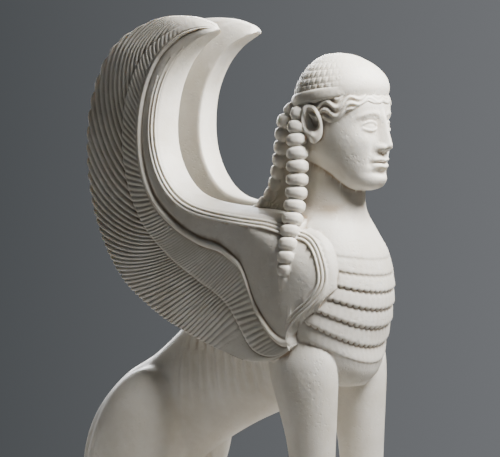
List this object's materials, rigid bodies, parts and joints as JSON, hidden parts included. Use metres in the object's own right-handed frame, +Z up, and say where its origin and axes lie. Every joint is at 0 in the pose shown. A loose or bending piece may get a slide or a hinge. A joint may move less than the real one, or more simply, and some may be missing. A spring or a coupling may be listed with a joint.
{
  "type": "sphinx statue",
  "caption": "Seated winged sphinx statue with a woman's head, beaded tresses, curled wings and a feathered breast, cast in one with a low oblong plinth.",
  "frame": {"origin": "middle of the plinth's underside", "axes": "+Z up, the figure looks along -Y, its left side is +X"},
  "size_m": [0.088, 0.186, 0.2477],
  "materials": {
    "alabaster": "satin off-white cast alabaster, with a faint brown patina in the grooves"
  },
  "bodies": {
    "root": {"sphinx": "alabaster"}
  },
  "joints": []
}
